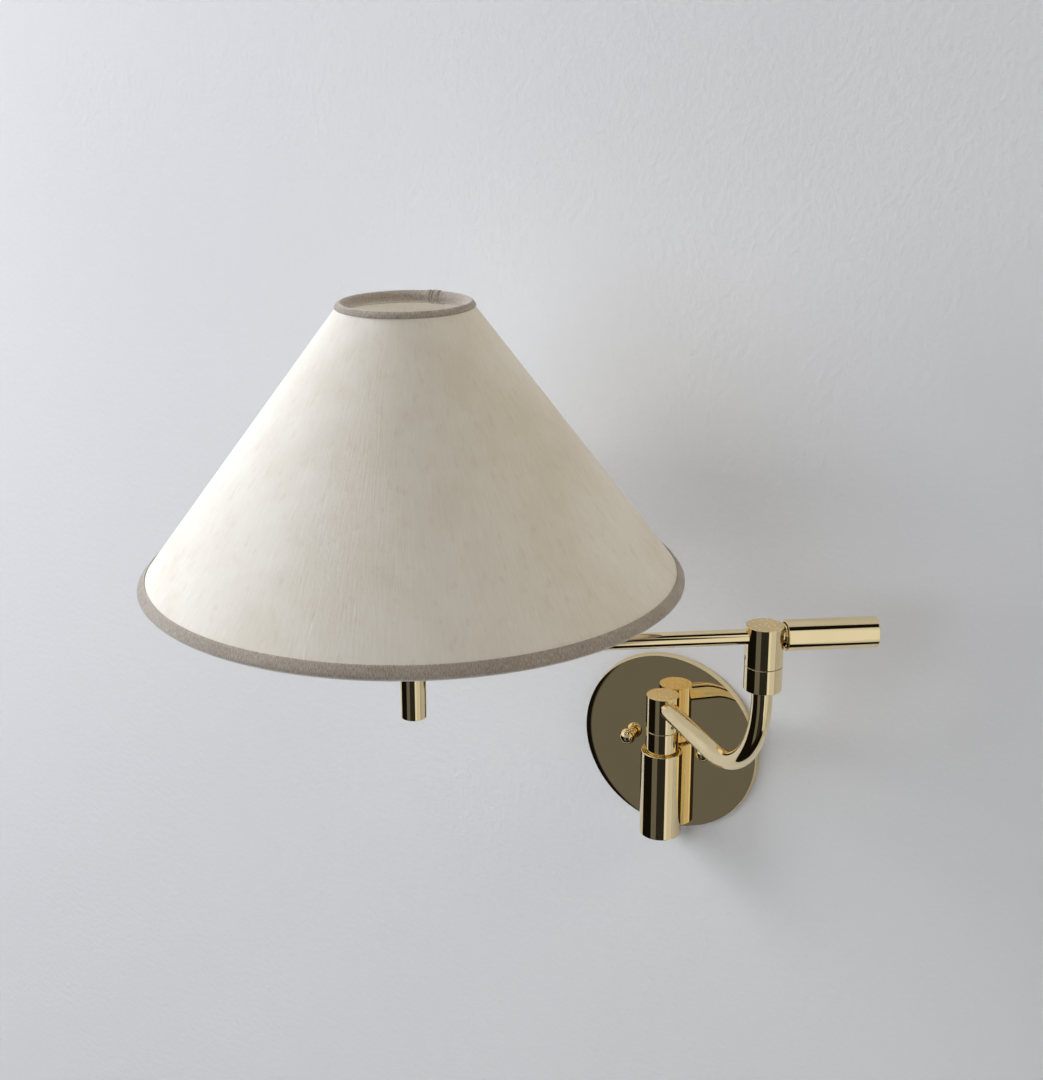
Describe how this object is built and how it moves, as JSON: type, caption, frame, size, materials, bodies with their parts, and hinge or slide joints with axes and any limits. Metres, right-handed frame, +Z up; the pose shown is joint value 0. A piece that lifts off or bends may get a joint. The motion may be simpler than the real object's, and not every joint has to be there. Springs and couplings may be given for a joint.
{
  "type": "swing arm wall sconce",
  "caption": "Wall lamp with a round polished plate, vertical post, curved swing arm, elbow swivel, straight second arm and a wide conical shade over an upright bulb.",
  "frame": {"origin": "centre of the round wall plate, in the plane of the wall", "axes": "X right along the wall seen from the room, Y into the wall, Z up; lamp stored with the first arm 42.8 degrees out from the wall and the shade in front"},
  "size_m": [0.4172, 0.4173, 0.439],
  "materials": {
    "polished_brass": "mirror polished, lacquered",
    "steel": "zinc plated",
    "washer_nylon": "plain",
    "shade_paper": "off-white linen on a stiff backing",
    "tape_taupe": "taupe ribbed binding tape",
    "black_plastic": "moulded",
    "bulb_glass": "frosted",
    "lead_sheath": "smooth sheath"
  },
  "bodies": {
    "wall_bracket": {"wall_plate": "polished_brass", "mounting_strap": "steel", "strap_studs": "steel", "ball_nuts": "polished_brass", "barrel": "polished_brass", "barrel_screws": "steel", "fixed_sleeve": "polished_brass", "stop_pin_1": "steel", "friction_washer_1": "washer_nylon", "pivot_1": "steel", "lead_1": "lead_sheath"},
    "first_arm": {"swivel_head_1": "polished_brass", "grub_screw_1": "steel", "j_arm": "polished_brass", "elbow_sleeve": "polished_brass", "stop_pin_2": "steel", "friction_washer_2": "washer_nylon", "pivot_2": "steel", "lead_2": "lead_sheath"},
    "second_arm": {"swivel_head_2": "polished_brass", "grub_screw_2": "steel", "arm_tube_2": "polished_brass", "knob_bushing": "polished_brass", "dimmer_body": "black_plastic", "stem": "polished_brass", "stem_plug": "polished_brass", "nipple": "steel", "nipple_nuts": "steel", "socket_cup": "polished_brass", "lamp_holder": "black_plastic", "screw_shell": "steel", "centre_contact": "polished_brass", "shade_ring_nut": "black_plastic", "shade_spider": "steel", "bottom_wire_ring": "steel", "top_wire_ring": "steel", "shade_skin": "shade_paper", "top_tape": "tape_taupe", "bottom_tape": "tape_taupe", "bulb_glass": "bulb_glass", "bulb_base": "steel", "lead_3": "lead_sheath"},
    "dimmer_knob": {"end_knob": "polished_brass", "dimmer_shaft": "steel"}
  },
  "joints": [
    {"name": "wall_swivel", "type": "hinge", "parent": "wall_bracket", "child": "first_arm", "pos_m": [0, -0.017, 0.0154], "axis": [0, 0, 1], "range_deg": [-135, 42]},
    {"name": "elbow_swivel", "type": "hinge", "parent": "first_arm", "child": "second_arm", "pos_m": [0.11079, -0.1196, 0.1268], "axis": [0, 0, 1], "range_deg": [-62, 265]},
    {"name": "dimmer_turn", "type": "hinge", "parent": "second_arm", "child": "dimmer_knob", "pos_m": [0.15175, -0.09092, 0.1463], "axis": [0.8192, 0.5736, 0], "range_deg": [0, 300]}
  ]
}
